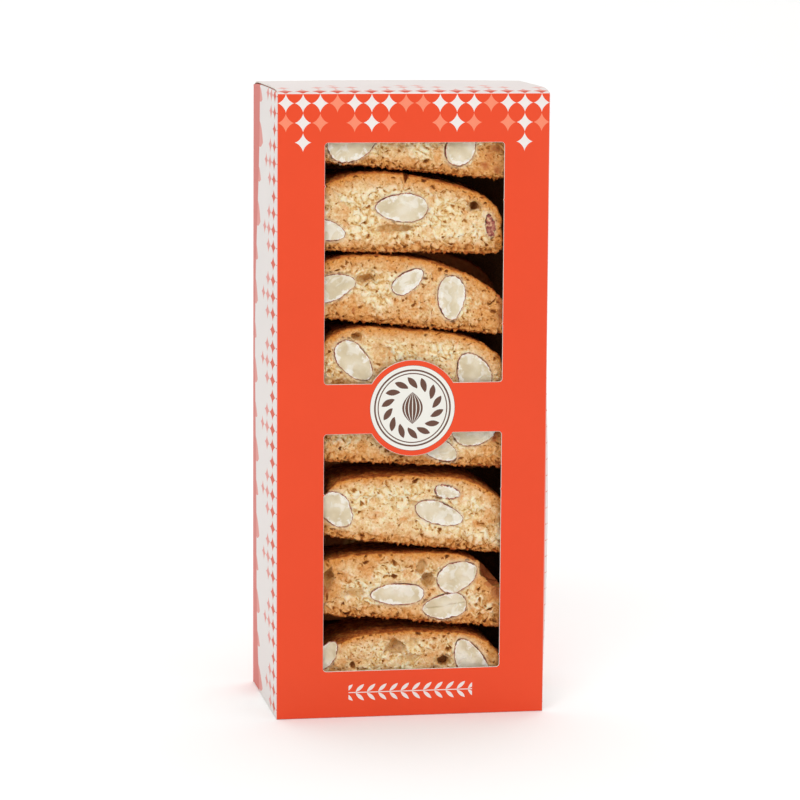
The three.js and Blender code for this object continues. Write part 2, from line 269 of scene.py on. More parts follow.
def starGarland(add, along, rank, runs):
    # Four-pointed stars that touch tip to tip in hanging runs. along counts star widths along the
    # fold and rank counts stars away from it; runs is the length of the longest one. Besides the
    # stars' mask it gives each star's place in a full run, and its row.
    part = add("VectorMath FRACTION", add("CombineXYZ", along, rank))
    spread = add("VectorMath MULTIPLY_ADD", part, (2, 2, 0), (-1, -1, 0))
    rest = add("VectorMath SUBTRACT", (1, 1, 0), add("VectorMath ABSOLUTE", spread))
    x, y, _ = add("SeparateXYZ", rest).outputs
    curves = [add("Math POWER", axis, artwork["starCurve"]) for axis in (x, y)]
    curve = add("Math ADD", *curves)
    star = add("Math GREATER_THAN", curve, 1.0)
    column, row = [add("Math FLOOR", count) for count in (along, rank)]
    # every fourth run is the longest, and those beside it are one star shorter
    turn = add("Math FLOORED_MODULO", column, 4.0)
    lack = add("Math ABSOLUTE", add("Math SUBTRACT", turn, 2.0))
    reach = add("Math ADD", lack, row)
    there = add("Math LESS_THAN", reach, runs - 0.5)
    forward = add("Math GREATER_THAN", rank, 0.0)
    shown = add("Math MULTIPLY", star, there)
    return add("Math MULTIPLY", shown, forward), reach, row


def fromCellMiddle(add, value, step, shift=0.0):
    # divides a coordinate into cells and gives the distance from the middle of each
    part = add("Math FRACT", add("Math MULTIPLY_ADD", value, 1 / step, shift))
    return add("Math MULTIPLY_ADD", part, step, -step / 2)


def leafMask(add, along, across, turn, length, width):
    # one pointed leaf around the origin of the two coordinates, in metres
    turned = add("VectorRotate Z_AXIS", add("CombineXYZ", along, across), Angle=turn)
    x, y, _ = add("SeparateXYZ", turned).outputs
    u = add("Math MULTIPLY", x, 2 / length)
    v = add("Math MULTIPLY", y, 2 / width)
    square = add("Math MULTIPLY", u, u)
    side = add("Math ABSOLUTE", v)
    total = add("Math ADD", square, side)
    return add("Math LESS_THAN", total, 1.0)


def boardFinish(add, shader, colour, roughness, gloss):
    # Coated board has a soft gloss, with the faintest mottle of its fibres about 0.5 mm apart
    spot = add("TexCoord").outputs["Object"]
    fibres = add("TexNoise", spot, Scale=1 / 0.0005, Detail=3.0)
    clouds = add("TexNoise", spot, Scale=1 / 0.03, Detail=2.0)
    tone = add("MapRange", clouds, 0.0, 1.0, 0.955, 1.035)
    shade = add("HueSaturation", Value=tone, Color=colour)
    sheen = add("MapRange", clouds, 0.0, 1.0, roughness - 0.05, roughness + 0.06)
    relief = add("Bump", Strength=0.12, Distance=0.00003, Height=fibres)
    fillSockets(shader, {
        "Base Color": shade, "Roughness": sheen, "Normal": relief, "Specular IOR Level": gloss})


def frontPrint():
    # Offset print on coated board: flat solid red under a thin dispersion varnish
    material, add, shader = newMaterial("coatedBoardRedPrint")
    spot = add("TexCoord").outputs["Object"]
    x, _, z = add("SeparateXYZ", spot).outputs
    fromMiddle = add("Math ABSOLUTE", x)
    starWidth, starHeight = artwork["starWidth"], artwork["starHeight"]
    along = add("Math MULTIPLY_ADD", fromMiddle, -1 / starWidth, 9.0)
    rank = add("Math MULTIPLY_ADD", z, -1 / starHeight, artwork["garlandTop"] / starHeight)
    stars, reach, row = starGarland(add, along, rank, 3)
    ends = add("Math GREATER_THAN", reach, 1.5)
    upperRows = add("Math LESS_THAN", row, 1.5)
    second = add("Math MULTIPLY", ends, upperRows)
    starColour = add("Mix RGBA", second, artwork["white"], artwork["pink"])
    beside = add("Math GREATER_THAN", fromMiddle, artwork["garlandGap"])
    above = add("Math LESS_THAN", rank, 2.0)
    clear = add("Math MAXIMUM", beside, above)
    garland = add("Math MULTIPLY", stars, clear)
    # sprig of leaf pairs on a stem, low on the panel
    upper = add("Math ABSOLUTE", add("Math ADD", z, -artwork["sprigZ"]))
    across = add("Math ADD", upper, -artwork["sprigRise"])
    local = fromCellMiddle(add, x, artwork["sprigStep"])
    leaf = leafMask(add, local, across, *artwork["sprigLeaf"])
    stem = add("Math LESS_THAN", upper, artwork["stemHalf"])
    whole = add("Math MAXIMUM", leaf, stem)
    within = add("Math LESS_THAN", fromMiddle, artwork["sprigHalf"])
    sprig = add("Math MULTIPLY", whole, within)
    # round badge with double rings
    white, brown = artwork["badgeWhite"], artwork["badgeBrown"]
    centred = add("VectorMath MULTIPLY_ADD", spot, (1, 0, 1), (0, 0, -windows["badgeZ"]))
    radius = add("VectorMath LENGTH", centred)
    share = add("Math MULTIPLY", radius, 1 / windows["badgeRadius"])
    rings = add("ValToRGB", share, stops=[
        (0, white), (0.706, brown), (0.728, white), (0.768, brown), (0.801, white), (0.879, brown)])
    rings.color_ramp.interpolation = "CONSTANT"
    # a wreath of leaves in the rings
    badgeX, _, badgeZ = add("SeparateXYZ", centred).outputs
    angle = add("Math ARCTAN2", badgeZ, badgeX)
    sweep = 2 * math.pi / artwork["wreathLeaves"]
    arc = add("Math MULTIPLY", fromCellMiddle(add, angle, sweep), radius)
    outward = add("Math ADD", radius, -artwork["wreathRadius"])
    wreath = leafMask(add, arc, outward, *artwork["wreathLeaf"])
    # a ribbed almond in the wreath: its half width shrinks with the square of the height
    tall = add("Math MULTIPLY", badgeZ, 1 / artwork["nutHalfHeight"])
    drop = add("Math MULTIPLY_ADD", tall, tall, -1.0)
    girth = add("Math MULTIPLY", drop, -artwork["nutHalfWidth"])
    size = add("Math ABSOLUTE", add("Math DIVIDE", badgeX, girth))
    kernel = add("Math LESS_THAN", size, 1.0)
    short = add("Math LESS_THAN", drop, 0.0)
    veins = add("Math PINGPONG", size, artwork["nutRib"])
    ribs = add("Math GREATER_THAN", veins, artwork["nutVein"])
    nut = add("Math MULTIPLY", kernel, ribs)
    nutMask = add("Math MULTIPLY", nut, short)
    motif = add("Math MAXIMUM", wreath, nutMask)
    badge = add("Mix RGBA", motif, rings, brown)
    onBadge = add("Math LESS_THAN", radius, artwork["badgeInk"])
    # the ink stops at the fold to the lid, and is paled a little along the upright folds as a painted
    # highlight
    folded = add("Math GREATER_THAN", z, artwork["inkTop"])
    foldHighlight = add("MapRange", fromMiddle, *artwork["foldHighlight"], 0.0, 0.5)
    colour = artwork["red"]
    for mask, ink in ((garland, starColour), (sprig, artwork["white"]), (onBadge, badge),
                      (folded, artwork["white"]), (foldHighlight, artwork["white"])):
        colour = add("Mix RGBA", mask, colour, ink)
    boardFinish(add, shader, colour, 0.42, 0.25)
    return material


def sidePrint():
    # White coated board with the star runs in red and a scalloped pink band along the rear fold
    material, add, shader = newMaterial("coatedBoardWhitePrint")
    spot = add("TexCoord").outputs["Object"]
    _, y, z = add("SeparateXYZ", spot).outputs
    starHeight = artwork["sideStarHeight"]
    along = add("Math MULTIPLY_ADD", z, 1 / artwork["sideStarWidth"], 0.9)
    rank = add("Math MULTIPLY_ADD", y, 1 / starHeight, halfDepth / starHeight + 0.8)
    stars = starGarland(add, along, rank, 4)[0]
    far = add("Math GREATER_THAN", rank, 2.0)
    starColour = add("Mix RGBA", far, artwork["sideRed"], artwork["sidePink"])
    layers = [(stars, starColour)]
    # the band's edge swings slowly, and pairs of paler leaves hang over it
    wave = add("Math SINE", add("Math MULTIPLY", z, 2 * math.pi / artwork["bandPeriod"]))
    edge = add("Math MULTIPLY_ADD", wave, artwork["bandSwing"], artwork["bandPlace"])
    over = add("Math SUBTRACT", y, edge)
    for place, length, width in artwork["bandLeaves"]:
        local = fromCellMiddle(add, z, artwork["bandLeafStep"], place)
        leaf = leafMask(add, over, local, artwork["bandLeafTurn"], length, width)
        layers.append((leaf, artwork["sidePink"]))
    band = add("Math GREATER_THAN", over, 0.0)
    layers.append((band, artwork["rearPink"]))
    colour = artwork["sideWhite"]
    for mask, ink in layers:
        colour = add("Mix RGBA", mask, colour, ink)
    boardFinish(add, shader, colour, 0.55, 0.06)
    return material


def lidPrintShaded():
    # The same white board on the lid, with the star runs pointing back from the front fold; its inks are
    # painted darker than on the sides, as shade on the lid
    material, add, shader = newMaterial("coatedBoardLidPrintShaded")
    spot = add("TexCoord").outputs["Object"]
    x, y, z = add("SeparateXYZ", spot).outputs
    starHeight = artwork["starHeight"]
    fromMiddle = add("Math ABSOLUTE", x)
    along = add("Math MULTIPLY_ADD", fromMiddle, -1 / artwork["starWidth"], 11.0)
    # the length along the board, which climbs steeply behind the fold, less the fold's own round
    climbed = add("Math ADD", y, z)
    rank = add("Math MULTIPLY_ADD", climbed, 1 / starHeight, (0.0009 + halfDepth - top) / starHeight)
    stars = starGarland(add, along, rank, 3)[0]
    far = add("Math GREATER_THAN", rank, 0.55)
    # painted shade: the lid takes its darker red, pink and white
    starColour = add("Mix RGBA", far, artwork["lidShadedRed"], artwork["lidShadedPink"])
    colour = add("Mix RGBA", stars, artwork["lidShadedWhite"], starColour)
    boardFinish(add, shader, colour, 0.55, 0.06)
    return material


def plainBoard(name, code, roughness):
    # The same coated board with one flat ink, or none
    material, add, shader = newMaterial(name)
    boardFinish(add, shader, code, roughness, 0.2)
    return material


def rawBoard(name, light, dark, roughness):
    # Uncoated board fibre: matt, with short fibres of two tones about 0.4 mm apart
    material, add, shader = newMaterial(name)
    spot = add("TexCoord").outputs["Object"]
    fibres = add("TexNoise", spot, Scale=1 / 0.0004, Detail=4.0)
    colour = add("ValToRGB", fibres, stops=[(0.3, dark), (0.7, light)])
    relief = add("Bump", Strength=0.4, Distance=0.00005, Height=fibres)
    fillSockets(shader, {"Base Color": colour, "Normal": relief, "Roughness": roughness})
    return material


def archRise(y, part):
    # how high the lid or the side panels' folds arch at a place between the front and the rear
    share = min(1, max(0, (y + halfDepth) / carton["depth"]))
    return carton[part + "Rise"] * (1 - abs(2 * share - 1) ** carton[part + "Power"])


def foldClosure(piece, up):
    # extrudes the front panel's edge into a closing panel with a tuck, and the side panels' edges
    # into dust flaps; up is the lid, otherwise the flat bottom
    level, sign = (top, 1) if up else (0.0, -1)
    # dust flaps first, from the side edges behind the corner
    for side in (-1, 1):
        pick(piece, "EDGE", lambda edge: abs(middle(edge).z - level) < tiny
             and abs(middle(edge).x - side * halfWidth) < 10 * tiny
             and abs(middle(edge).y) < halfDepth - carton["cornerGap"]
             and abs(edge.verts[0].co.z - edge.verts[1].co.z) < tiny / 10)
        bpy.ops.transform.translate(value=(0, 0, -sign * 0.0001))
        extrude(-side * carton["cornerGap"], 0, -sign * 0.0002)
        scaleBy(1, carton["flapTapers"][0], 1)
        extrude(-side * (carton["flapReach"] - carton["cornerGap"]), 0, -sign * 0.0005)
        scaleBy(1, carton["flapTapers"][1], 1)
    if up:
        # the side folds arch up under the lid, and the flaps lie close below it
        setMode("OBJECT")
        for vertex in piece.data.vertices:
            if vertex.co.z > level - 0.002 and abs(vertex.co.y) < halfDepth - 0.0005:
                if abs(vertex.co.x) > halfWidth - 0.0002:
                    vertex.co.z += archRise(vertex.co.y, "side")
                else:
                    vertex.co.z += max(0, archRise(vertex.co.y, "lid") - board - 0.0001)
        setMode("EDIT")
    # closing panel
    pick(piece, "EDGE", lambda edge: all(
        abs(vertex.co.z - level) < tiny and abs(vertex.co.y + halfDepth) < tiny for vertex in edge.verts))
    before, height = 0.0, 0.0
    for order, share in enumerate(carton["lidSteps"] if up else carton["lidSteps"][-1:]):
        rise = archRise(share * carton["depth"] - halfDepth, "lid") if up else 0.0
        extrude(0, (share - before) * carton["depth"], rise - height)
        if order == 0:
            scaleBy(carton["lidTaper"], 1, 1)
        before, height = share, rise
    extrude(0, 0.0002, -sign * 0.0012 - height * up)
    extrude(0, -0.0003, -sign * carton["tuckLength"])
    scaleBy(carton["tuckTaper"], 1, 1)
    if up:
        for place in carton["lidCuts"]:
            cutAcross(piece, lambda face: face.calc_center_median().z > level and abs(face.normal.x) < 0.3,
                      (place, 0, 0), (1, 0, 0))


def sideBow(co):
    # outward belly of the side panels, in metres
    along = co.y / halfDepth
    depthShare = (along + 1) / 2
    bow = max(0, 1 - along * along) * math.sin(math.pi * min(1, co.z / top))
    if co.x < 0:
        return carton["leftBow"] * bow
    low = min(1, max(0, (co.z - carton["swellFoot"]) / carton["swellHeight"]))
    swell = math.sin(math.pi * low) ** 0.6 if 0 < low < 1 else 0
    # it rises at once behind the front fold and dies away to the rear
    begun = 1 - math.exp(-depthShare * carton["swellRate"])
    return carton["rightBow"] * bow + carton["rightSwell"] * swell * begun * (1 - depthShare ** 3)


def cutWindow(piece, low, high):
    # a rounded cutter, less the badge and the nibs
    cutter = addShape(bpy.ops.mesh.primitive_cube_add, size=1, scale=(windows["width"], 0.003, high - low),
                      location=(windows["centreX"], -halfDepth, (low + high) / 2))
    setMode("EDIT")
    pick(cutter, "EDGE", lambda edge: abs(edge.verts[0].co.y - edge.verts[1].co.y) > 0.002)
    bpy.ops.mesh.bevel(offset=windows["corner"], segments=6)
    setMode("OBJECT")
    stays = [(0, windows["badgeZ"], windows["badgeRadius"], 128)]
    stays += [(x, z, windows["tabRadius"], 12) for x, z in windows["tabs"] if low < z < high]
    for x, z, radius, count in stays:
        stay = addShape(bpy.ops.mesh.primitive_cylinder_add, vertices=count, radius=radius, depth=0.01,
                        location=(x, -halfDepth, z), rotation=(math.pi / 2, 0, 0))
        applyModifier(cutter, "BOOLEAN", operation="DIFFERENCE", object=stay, solver="EXACT")
        bpy.data.objects.remove(stay)
    applyModifier(piece, "BOOLEAN", operation="DIFFERENCE", object=cutter, solver="EXACT")
    bpy.data.objects.remove(cutter)


def buildCarton():
    piece = addShape(bpy.ops.mesh.primitive_cube_add, size=1, location=(0, 0, top / 2),
                     scale=(carton["width"], carton["depth"], top))
    piece.name = piece.data.name = "cartonBoard"
    setMode("EDIT")
    pick(piece, "FACE", lambda face: abs(face.normal.z) > 0.9)
    bpy.ops.mesh.delete(type="ONLY_FACE")
    cuts = [((0, place, 0), (0, 1, 0)) for place in carton["sideCuts"]]
    cuts += [((0, 0, top * row / carton["sideRows"]), (0, 0, 1)) for row in range(1, carton["sideRows"])]
    for place, normal in cuts:
        cutAcross(piece, lambda face: abs(face.normal.x) > 0.9, place, normal)
    foldClosure(piece, True)
    foldClosure(piece, False)
    setMode("OBJECT")
    for vertex in piece.data.vertices:
        if abs(abs(vertex.co.x) - halfWidth) < tiny and 0.0005 < vertex.co.z < top - 0.0005:
            vertex.co.x += math.copysign(sideBow(vertex.co), vertex.co.x)
        if vertex.co.z > top:
            vertex.co.z -= (vertex.co.z - top) * carton["edgeSag"] * (vertex.co.x / halfWidth) ** 2
    applyModifier(piece, "BEVEL", width=carton["foldRadius"], segments=3, limit_method="ANGLE",
                  angle_limit=math.radians(carton["foldAngle"]), use_clamp_overlap=True)
    applyModifier(piece, "SOLIDIFY", thickness=board, offset=-1, use_even_offset=True)
    for low, high in windows["rows"]:
        cutWindow(piece, low, high)
    # the punched edge is broken a little, so the white of the board shows round the windows
    activate(piece)
    setMode("EDIT")
    zoneHalf = windows["zone"][0]
    pick(piece, "EDGE", lambda edge: all(
        abs(vertex.co.y + halfDepth) < 2 * tiny and abs(vertex.co.x) < zoneHalf for vertex in edge.verts)
        and len(edge.link_faces) == 2 and min(abs(face.normal.y) for face in edge.link_faces) < 0.3
        and 0.01 < middle(edge).z < 0.21)
    bpy.ops.mesh.bevel(offset=windows["edgeWear"], segments=1)
    setMode("OBJECT")
    for material in (frontPrint(), sidePrint(), lidPrintShaded(),
                     plainBoard("coatedBoardPlainRed", artwork["red"], 0.42),
                     plainBoard("coatedBoardPlainWhite", artwork["sideWhite"], 0.5),
                     rawBoard("rawBoardInside", "#c08c5c", "#9a6a42", 0.85),
                     rawBoard("punchedBoardEdge", "#f4efe8", "#dcd2c6", 0.8)):
        piece.data.materials.append(material)
    for face in piece.data.polygons:
        face.material_index = faceFinish(face.center, face.normal)
    activate(piece)
    bpy.ops.object.shade_smooth_by_angle(angle=math.radians(35))
    finishPiece(piece, "carton_board", "carton")
    print("carton board:", len(piece.data.polygons), "faces")


def faceFinish(centre, normal):
    # which of the carton's materials a face takes, by its place and the way it looks
    front, side, lid, plainRed, plainWhite, inside, edge = range(7)
    zoneHalf, zoneLow, zoneHigh = windows["zone"]
    slack = 0.0001
    nearFront = centre.y < -halfDepth + board + slack
    if nearFront and abs(centre.x) < zoneHalf and zoneLow < centre.z < zoneHigh and abs(normal.y) < 0.93:
        return edge
    if nearFront and normal.y < -0.6:
        onTab = any(math.hypot(centre.x - x, centre.z - z) < 0.00045 for x, z in windows["tabs"])
        return edge if onTab and abs(centre.x - windows["centreX"]) < windows["width"] / 2 else front
    rise = archRise(centre.y, "lid") * (1 - carton["edgeSag"] * (centre.x / halfWidth) ** 2)
    if (centre.z > top + rise - board - slack and abs(centre.x) < halfWidth - 0.0002) or (
            centre.z > top - 0.0006 and nearFront and normal.z > 0.3):
        if abs(normal.x) > 0.7 and abs(centre.x) > 0.044:
            return edge
        return lid if normal.z > 0.3 or normal.y > 0.5 else inside
    if abs(centre.x) > halfWidth - 0.0005 and centre.x * normal.x > 0 and abs(normal.x) > 0.3:
        return side
    if (centre.y > halfDepth - 0.0002 and normal.y > 0.3) or (centre.z > top - 0.0012 and normal.z > 0.5):
        return plainRed
    if centre.z < 0.0002 and normal.z < -0.3:
        return plainWhite
    return edge if abs(normal.x) > 0.9 and abs(centre.x) < halfWidth - board - slack else inside


biscotti = {  # lengths in mm but for the first three
    "voxel": 0.0003,
    "rearVoxel": 0.0011,
    "fineDepth": 0.008,  # behind the cut face the mesh is thinned
    "foam": [  # cell, radius in cells, depth, tone of the painted shade, share of cells that hold a bubble
        (5.5, 0.24, 1.20, 1.1, 0.15),
        (2.6, 0.33, 0.80, 1.0, 0.29),
        (1.4, 0.42, 0.45, 0.9, 0.31),
    ],
    "foamSquash": 0.84,  # the bubbles are a little wider than high
    "wander": 1.2,  # how far the outlines of hollows stray
    "grain": 0.22,  # fine roughness of the crumb
    "crumbs": 1.3,  # clumps of the open crumb and the creases between them
    "clumpRate": 0.42, "clumpMean": 0.42,
    "dimple": 0.8,  # slow unevenness of the cut face
    "crustBump": 0.5,
    "raggedBase": 1.0,
    "shrink": 0.05,  # keeps the relief inside the CAD slice
    "noises": {  # each is a sum of layers: waves per mm and share
        "slow": [(0.26, 1)],
        "rim": [(0.9, 0.5)],
        "outline": [(0.4, 0.4), (1.1, 0.3)],
        "grain": [(0.95, 1), (1.9, 0.8), (3.7, 0.6)],
        "ragged": [(0.8, 1), (1.8, 0.7)],
        "crust": [(0.5, 1), (1.5, 0.6)],
        "opening": [(0.31, 0.5)],
        "density": [(0.17, 1.1)],
    },
    "patchRate": 0.11,  # waves per mm of the toasted patches
    # how toasted each slice's crumb is, from the top
    "bake": [0.36, -0.06, 0.40, 0.06, 0.40, -0.02, 0.42, 0.32],
    "endBakeAndShade": {0: 0.75, 2: 0.2},  # how much browner its ends are, partly toasted and partly painted shade of the window's frame, with 0 for the slices not named
    "endSpan": (17, 32),  # distances from the middle between which that comes in
    "browned": [1.0, 1.0, 1.1, 1.25, 1.0, 1.5, 1.2, 1.5],  # how quickly the browning under each dome fades
    "split": {"slice": 2, "x": -2.6, "z": 189, "lean": 0.25, "halfWidth": 1.1, "deep": 3.0, "reach": 4.5},
    "hollows": {  # large bubbles cut open: place across and up, half width, half height and depth
        2: [(-6.0, 171.4, 7.0, 1.6, 1.5), (21.7, 178.9, 2.6, 2.2, 1.4)],
        3: [(-15.8, 153.8, 4.8, 1.4, 1.3)],
        4: [(-9.9, 129.2, 2.6, 1.9, 1.0)],
        6: [(0.5, 75.5, 1.6, 0.9, 1.2)],
        7: [(4.0, 52.2, 2.2, 2.3, 1.5), (6.8, 48.0, 2.8, 2.5, 1.8), (-19.5, 44.0, 4.6, 1.8, 0.9)],
        8: [(-5.2, 24.2, 4.1, 3.1, 1.7), (1.3, 25.6, 2.3, 1.6, 1.3), (-1.2, 20.2, 2.6, 1.9, 0.9),
            (12.4, 18.8, 2.9, 2.2, 1.6)],
    },
    # what each vertex tells the material: three distances, the painted shade of pits and creases, the depth
    # of hollows and how toasted it is, with painted shade added in deep hollows and on the slices behind
    "traits": ("fromDome", "fromBase", "fromAlmond", "pore", "hollow", "bake"),
}


def measureCad(piece):
    # trees of the crust faces of a CAD slice, one for the dome and one for the flat base, and
    # a point and normal of its cut face
    mesh = piece.data
    points = [vertex.co.copy() for vertex in mesh.vertices]
    dome, base, cut = [], [], None
    for polygon in mesh.polygons:
        depths = [points[i].y for i in polygon.vertices]
        if max(depths) - min(depths) > 0.006 and abs(polygon.normal.y) < 0.5:
            (base if polygon.normal.z < -0.35 else dome).append(tuple(polygon.vertices))
        elif polygon.normal.y < -0.9 and (cut is None or polygon.area > cut.area):
            cut = polygon
    return (BVHTree.FromPolygons(points, dome), BVHTree.FromPolygons(points, base),
            cut.center.copy(), cut.normal.copy())


def layered(place, name):
    return sum(share * noise.noise(place * rate) for rate, share in biscotti["noises"][name])


def bubbleProfile(place, cell, radius, filled):
    # 0 to 1 over the round pit that a cut bubble leaves: each cell holds one of its own size, or none
    distances, centres = noise.voronoi(place / cell)
    chance = 0.5 + 0.5 * noise.cell(centres[0] * 9.7)
    if chance > filled:
        return 0.0
    share = distances[0] / (radius * (0.5 + 0.5 * chance / filled))
    return (0.55 + 0.45 * chance / filled) * math.sqrt(1 - share * share) if share < 1 else 0.0


def foamPit(place, density, keep, crustGap):
    # depth and painted shade of the bubbles at a place of the cut face
    warped = place + 0.4 * noise.noise_vector(place * 0.9) + 0.22 * noise.noise_vector(place * 2.6)
    warped.x *= biscotti["foamSquash"]
    pit, shade = 0.0, 0.0
    for level, (cell, radius, deep, tone, filled) in enumerate(biscotti["foam"]):
        ownPlace = warped + Vector((0, 7.7 * level, 0))
        profile = keep * bubbleProfile(ownPlace, cell, radius, min(0.9, filled * density))
        if level == 0:
            profile *= ease(crustGap, 0.5, 2.0)  # the largest stay off the crust
        pit, shade = max(pit, deep * profile), max(shade, tone * profile)
    return pit, shade


def placedHollow(co, place, number, almondGap):
    # depth of the large hollows of a slice at one of its points
    deepest = 0.0
    for x, z, halfWidth, halfHeight, deep in biscotti["hollows"].get(number, []):
        reach = math.hypot((co.x * 1000 - x) / halfWidth, (co.z * 1000 - z) / halfHeight)
        if reach < 2:
            reach += layered(place, "outline")
            deepest = max(deepest, deep * (1 - ease(reach, 0.7, 1.1)) * ease(almondGap, 0.2, 0.9))
    return deepest


def shapeSlice(piece, measures, almondTree, number, fine):
    # moves the vertices of a remeshed slice by its relief, and stores the traits for its material
    dome, base, cutPlace, cutNormal = measures
    mesh = piece.data
    normals = [vertex.normal.copy() for vertex in mesh.vertices]
    found = []
    shift = Vector((number * 37.1, number * 11.3, number * 23.7))  # each slice has its own crumb
    row = (number - 1) % 8
    bake, browned = biscotti["bake"][row], biscotti["browned"][row]
    endBakeAndShade = biscotti["endBakeAndShade"].get(number, biscotti["endBakeAndShade"][0])
    split = biscotti["split"]
    for vertex, normal in zip(mesh.vertices, normals):
        co = vertex.co.copy()
        place = co * 1000 + shift
        # distances in mm from the crust, the cut face and the nearest almond
        domeGap, baseGap = dome.find_nearest(co)[3] * 1000, base.find_nearest(co)[3] * 1000
        crustGap = min(domeGap, baseGap)
        sunk = (cutPlace - co).dot(cutNormal) * 1000
        almondGap = 9.0
        if almondTree is not None and sunk < 6:
            almondGap = min(9.0, almondTree.find_nearest(co)[3] * 1000)
        onCut = ease(abs(normal.y), 0.45, 0.8)
        onCrust = 1 - ease(crustGap, 0.2, 0.8)
        lowBand, highBand = 1 - ease(baseGap, 1.0, 4.4), 1 - ease(domeGap, 0.6, 3.0)
        slow = layered(place, "slow")
        # hollows: those of the CAD slice, whose walls lie behind its cut face, and the placed ones
        inHollow, pit, shade, wide = 0.0, 0.0, 0.0, 0.0
        if sunk < 11:
            rim = sunk + layered(place, "rim")
            inHollow = ease(rim, 0.2, 1.3) * ease(almondGap, 0.5, 1.1) * ease(crustGap, 0.3, 1.0)
        if fine and sunk < 5:
            wide = placedHollow(co, place, number, almondGap)
            inHollow = max(inHollow, ease(wide, 0.1, 0.8))
        if fine and onCut > 0:
            density = 0.75 + layered(place, "density") + 1.1 * lowBand + 0.5 * highBand + bake
            keep = onCut * ease(almondGap, 0.2, 1.0) * (1 - 0.35 * inHollow)
            pit, shade = foamPit(place, min(1.9, max(0.25, density)), keep, crustGap)
        # the crumb is open in some patches, away from the dome and less where it is toasted
        patch = noise.noise(place * biscotti["patchRate"] + shift)
        openness = ease(0.12 - patch - 0.3 * bake + layered(place, "opening"), -0.2, 0.25)
        openness *= ease(domeGap, 1.5, 5.5)
        clumps = noise.turbulence(place * biscotti["clumpRate"], 3, True, noise_basis="PERLIN_ORIGINAL",
                                  amplitude_scale=0.55, frequency_scale=2.1) - biscotti["clumpMean"]
        grain = biscotti["grain"] * layered(place, "grain")
        grain += biscotti["crumbs"] * clumps * (0.15 + 1.05 * openness)
        grain *= 1 - 0.6 * inHollow
        dent = biscotti["dimple"] * slow * onCut * ease(crustGap, 0.3, 2.0)
        ragged = lowBand * biscotti["raggedBase"] * (layered(place, "ragged") - 0.35) if fine else 0.0
        bump = onCrust * (biscotti["crustBump"] * layered(place, "crust") - 0.2)
        relief = bump + (grain * (1 - 0.5 * onCrust) + dent) * ease(almondGap, 0.0, 1.2)
        relief += ragged - biscotti["shrink"]
        moved = normal * (relief - pit)
        # outlines of hollows and pits wander over the cut face
        stray = fine * (1 - ease(sunk, 4, 8)) * ease(almondGap, 0.8, 2.6) * ease(crustGap, 0.6, 2.4)
        aside = noise.noise_vector(place * 0.38) + 0.3 * noise.noise_vector(place * 1.1)
        moved += Vector((aside.x, 0, aside.z)) * (stray * biscotti["wander"])
        if fine and sunk < 5:
            moved.y += 0.5 * inHollow * min(max(sunk, 0.0), 2.0) + max(0.0, wide - max(sunk, 0.0))
        if number == split["slice"] and domeGap < split["reach"] and co.z > cutPlace.z and sunk < 6:
            leaning = split["lean"] * (co.z * 1000 - split["z"])
            across = abs(co.x * 1000 - split["x"] - leaning) / split["halfWidth"]
            if across < 1:
                moved.z -= (split["deep"] * (1 - across ** 1.5) * (1 - domeGap / split["reach"])
                            * (1 - ease(sunk, 2, 6)))
                # painted shade deep in the split
                shade = max(shade, 1.3 * (1 - across) * (1 - ease(domeGap, 0.4, 2.0)))
        vertex.co = co + moved / 1000
        # painted shade makes the slices behind and the far ends of deep hollows browner, and partly the ends
        # of the slices; the crumb is also toasted in patches, browner where the cut face dips and paler
        # where it is open
        toastAndShade = bake + 0.8 * patch + 0.9 * max(0.0, -slow - 0.12) - 0.25 * openness
        toastAndShade += endBakeAndShade * ease(abs(co.x * 1000), *biscotti["endSpan"]) + (
            1.6 * inHollow * ease(sunk, 2.5, 4.5) if fine else 1.6)
        # painted shade of the bubbles and the split, darker too where the crumb's relief and the ragged base
        # dip
        found.append((domeGap * browned, baseGap, almondGap, shade - 0.65 * grain - 0.3 * ragged,
                      inHollow * min(1.0, max(sunk, wide) / 2.6), toastAndShade))
    for name, values in zip(biscotti["traits"], zip(*found)):
        mesh.attributes.new(name, "FLOAT", "POINT").data.foreach_set("value", values)


